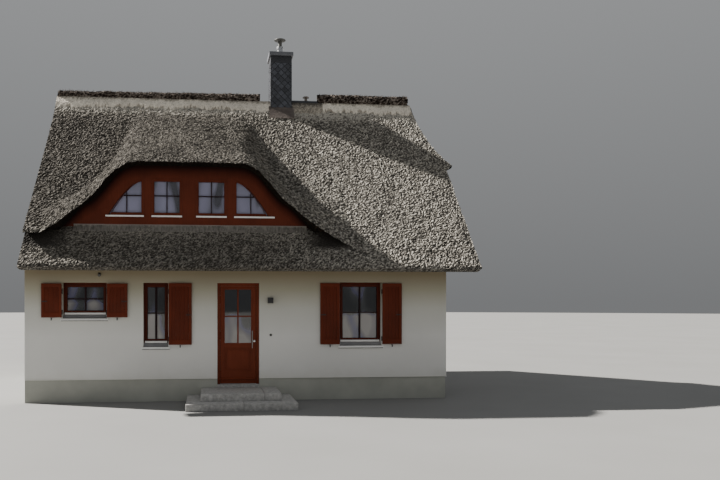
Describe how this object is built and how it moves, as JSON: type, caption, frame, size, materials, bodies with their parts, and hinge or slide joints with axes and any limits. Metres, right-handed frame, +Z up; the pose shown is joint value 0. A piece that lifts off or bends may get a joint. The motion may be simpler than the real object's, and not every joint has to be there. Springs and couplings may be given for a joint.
{
  "type": "thatched cottage",
  "caption": "Hollow white cottage with a steep thatched roof, wide eyebrow dormer, half-hipped gable, chimney, front door that opens and shutters that swing.",
  "frame": {"origin": "on the ground under the middle of the four outer wall faces, on the ground-floor slab's underside", "axes": "+X to the right along the front as seen from outside, +Y from the front to the back, +Z up"},
  "size_m": [9.91, 9.15, 9.1553],
  "materials": {
    "white_render": "matt fine render",
    "plinth_paint": "matt paint on render",
    "concrete": "rough concrete block",
    "floor_timber": "plain boards",
    "reed_thatch": "weathered reed",
    "heather": "bound heather",
    "red_wood": "satin ox-red paint",
    "window_glass": "clear, reflecting the sky",
    "pale_sill": "pale coated",
    "slate": "split slate",
    "bare_metal": "brushed",
    "black_metal": "matt black"
  },
  "bodies": {
    "house": {"front_wall_left": "white_render", "front_wall_right": "white_render", "front_wall_over_door": "white_render", "gable_wall": "white_render", "back_wall": "white_render", "party_wall": "white_render", "plinth": "plinth_paint", "ground_floor": "concrete", "lower_step": "concrete", "landing_step": "concrete", "upper_floor": "floor_timber", "thatch_front": "reed_thatch", "thatch_dormer": "reed_thatch", "thatch_apron": "reed_thatch", "thatch_back": "reed_thatch", "thatch_half_hip": "reed_thatch", "ridge_heather_left": "heather", "ridge_heather_right": "heather", "dormer_front": "red_wood", "dormer_window_1": "red_wood", "dormer_window_2": "red_wood", "dormer_window_3": "red_wood", "dormer_window_4": "red_wood", "window_small_frame": "red_wood", "window_tall_frame": "red_wood", "window_right_frame": "red_wood", "gable_window_low_frame": "red_wood", "gable_window_high_frame": "red_wood", "back_window_left_frame": "red_wood", "back_window_right_frame": "red_wood", "door_frame": "red_wood", "dormer_glass": "window_glass", "window_small_glass": "window_glass", "window_tall_glass": "window_glass", "window_right_glass": "window_glass", "gable_window_low_glass": "window_glass", "gable_window_high_glass": "window_glass", "back_window_left_glass": "window_glass", "back_window_right_glass": "window_glass", "window_small_sill": "pale_sill", "window_tall_sill": "pale_sill", "window_right_sill": "pale_sill", "chimney_stack": "slate", "chimney_cap": "slate", "chimney_cowl": "bare_metal", "vent_pipe": "bare_metal", "ridge_saddle": "bare_metal", "wall_lamp": "black_metal"},
    "front_door": {"door_leaf": "red_wood", "door_glass": "window_glass", "door_handle": "bare_metal"},
    "small_left_leaf": {"shutter_small_left": "red_wood"},
    "small_right_leaf": {"shutter_small_right": "red_wood"},
    "tall_right_leaf": {"shutter_tall_right": "red_wood"},
    "right_left_leaf": {"shutter_right_left": "red_wood"},
    "right_right_leaf": {"shutter_right_right": "red_wood"}
  },
  "joints": [
    {"name": "door_hinge", "type": "hinge", "parent": "house", "child": "front_door", "pos_m": [-0.458, -3.293, 1.5], "axis": [0, 0, 1], "range_deg": [0, 90]},
    {"name": "small_left_hinge", "type": "hinge", "parent": "house", "child": "small_left_leaf", "pos_m": [-3.79, -3.494, 1.5], "axis": [0, 0, 1], "range_deg": [0, 180]},
    {"name": "small_right_hinge", "type": "hinge", "parent": "house", "child": "small_right_leaf", "pos_m": [-2.87, -3.494, 1.5], "axis": [0, 0, -1], "range_deg": [0, 180]},
    {"name": "tall_right_hinge", "type": "hinge", "parent": "house", "child": "tall_right_leaf", "pos_m": [-1.57, -3.494, 1.5], "axis": [0, 0, -1], "range_deg": [0, 180]},
    {"name": "right_left_hinge", "type": "hinge", "parent": "house", "child": "right_left_leaf", "pos_m": [2.165, -3.494, 1.5], "axis": [0, 0, 1], "range_deg": [0, 180]},
    {"name": "right_right_hinge", "type": "hinge", "parent": "house", "child": "right_right_leaf", "pos_m": [3.1, -3.494, 1.5], "axis": [0, 0, -1], "range_deg": [0, 180]}
  ]
}
